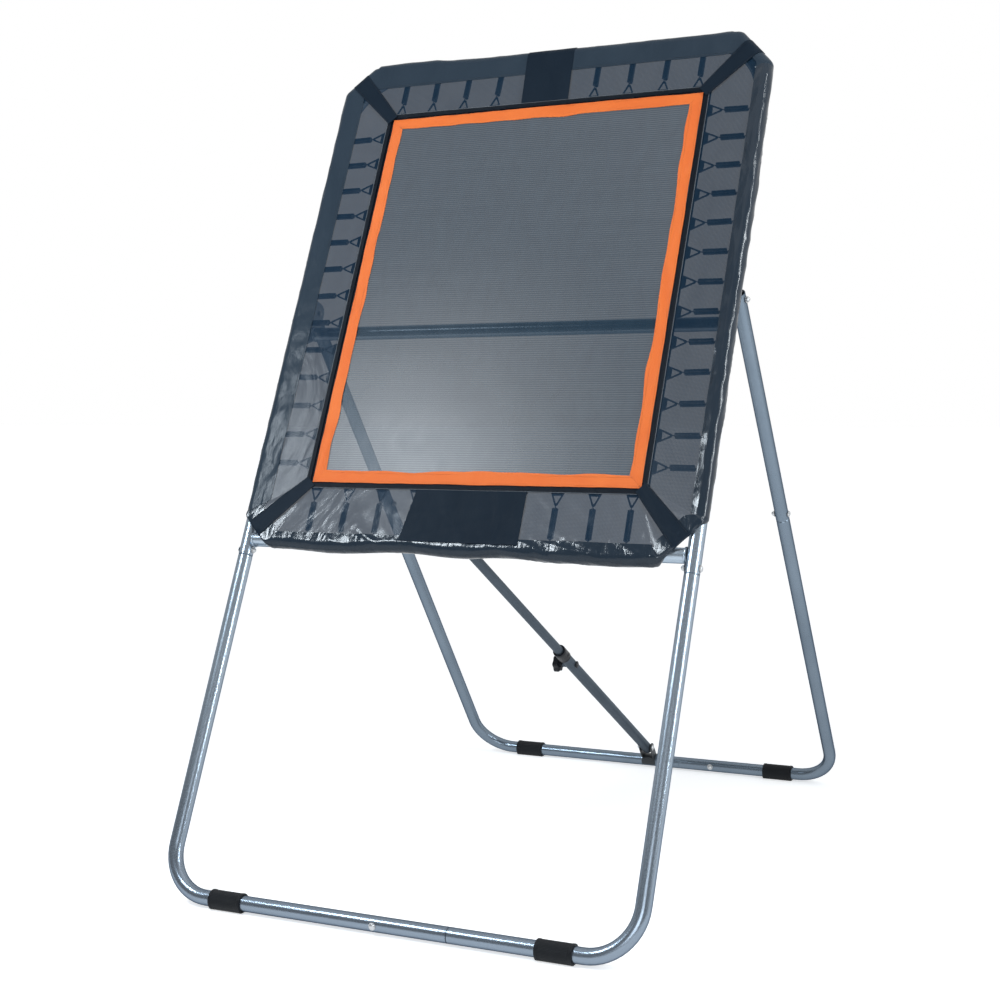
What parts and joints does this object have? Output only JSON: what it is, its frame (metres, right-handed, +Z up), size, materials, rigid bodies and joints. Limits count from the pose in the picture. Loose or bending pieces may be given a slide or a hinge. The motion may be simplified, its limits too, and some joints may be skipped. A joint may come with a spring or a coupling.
{
  "type": "lacrosse rebounder",
  "caption": "Free-standing lacrosse rebounder: sprung net mat in a leaning tube frame with a padded cover, folding rear legs and a telescopic strut.",
  "frame": {"origin": "on the floor, midway between the two floor bars and on the centre line", "axes": "+Z up; +X to the right seen from the thrower's side; -Y towards the thrower, the side the mat faces"},
  "size_m": [1.2474, 1.7121, 2.0669],
  "materials": {
    "satin_steel_tube": "satin silver-grey powder coat",
    "zinc": "bright zinc plate",
    "bracket_steel": "satin silver-grey",
    "dark_bracket": "satin black",
    "strut_tube": "satin slate-grey",
    "black_rubber": "matt moulded",
    "black_plastic": "fine satin",
    "spring_wire": "plated wire with black hem webbing",
    "mat_mesh": "fine open weave",
    "orange_webbing": "stitched webbing",
    "cover_vinyl": "soft glossy vinyl",
    "cover_window": "smoked see-through vinyl"
  },
  "bodies": {
    "front_frame": {"front_leg_left": "satin_steel_tube", "side_tube_left": "satin_steel_tube", "leg_bolt_left": "zinc", "hoop_button_left": "zinc", "front_foot_left": "black_rubber", "pivot_plate_left": "bracket_steel", "pivot_bolt_left": "zinc", "spring_row_left": "spring_wire", "cover_wrap_left": "cover_vinyl", "cover_window_left": "cover_window", "cover_corner_high_left": "cover_vinyl", "cover_corner_low_left": "cover_vinyl", "front_leg_right": "satin_steel_tube", "side_tube_right": "satin_steel_tube", "leg_bolt_right": "zinc", "hoop_button_right": "zinc", "front_foot_right": "black_rubber", "pivot_plate_right": "bracket_steel", "pivot_bolt_right": "zinc", "spring_row_right": "spring_wire", "cover_wrap_right": "cover_vinyl", "cover_window_right": "cover_window", "cover_corner_high_right": "cover_vinyl", "cover_corner_low_right": "cover_vinyl", "front_bar_bolt": "zinc", "top_hoop": "satin_steel_tube", "lower_bar": "satin_steel_tube", "cross_bar": "satin_steel_tube", "strut_top_bracket": "dark_bracket", "mat_net": "mat_mesh", "mat_border": "orange_webbing", "spring_row_top": "spring_wire", "spring_row_bottom": "spring_wire", "cover_wrap_top": "cover_vinyl", "cover_wrap_bottom": "cover_vinyl", "cover_window_top": "cover_window", "cover_window_bottom": "cover_window"},
    "rear_legs": {"rear_leg_upper_left": "satin_steel_tube", "rear_leg_lower_left": "satin_steel_tube", "rear_leg_bolt_left": "zinc", "rear_foot_left": "black_rubber", "rear_leg_upper_right": "satin_steel_tube", "rear_leg_lower_right": "satin_steel_tube", "rear_leg_bolt_right": "zinc", "rear_foot_right": "black_rubber", "rear_bar_bolt": "zinc", "strut_base_bracket": "dark_bracket", "strut_base_bolt": "zinc"},
    "strut_outer": {"strut_outer_tube": "strut_tube", "strut_collar": "black_plastic", "strut_lock_cap": "black_plastic"},
    "strut_inner": {"strut_inner_tube": "strut_tube", "strut_top_pin": "zinc"},
    "knob": {"strut_knob": "black_plastic"}
  },
  "joints": [
    {"name": "rear_leg_fold", "type": "hinge", "parent": "front_frame", "child": "rear_legs", "pos_m": [0, -0.13039, 1.3924], "axis": [-1, 0, 0], "range_deg": [0, 56.4]},
    {"name": "strut_swing", "type": "hinge", "parent": "rear_legs", "child": "strut_outer", "pos_m": [0, 0.79917, 0.06847], "axis": [-1, 0, 0], "range_deg": [0, 20.7]},
    {"name": "strut_extend", "type": "slide", "parent": "strut_outer", "child": "strut_inner", "axis": [0, -0.852, 0.5235], "range_m": [-0.442, 0]},
    {"name": "knob_turn", "type": "hinge", "parent": "strut_outer", "child": "knob", "pos_m": [0, 0.2198, 0.42446], "axis": [1, 0, 0], "continuous": true}
  ],
  "couplings": [
    {"joint": "strut_swing", "follows": "rear_leg_fold", "ratio": 0.36576},
    {"joint": "strut_extend", "follows": "rear_leg_fold", "m_per_rad": -0.44781}
  ]
}
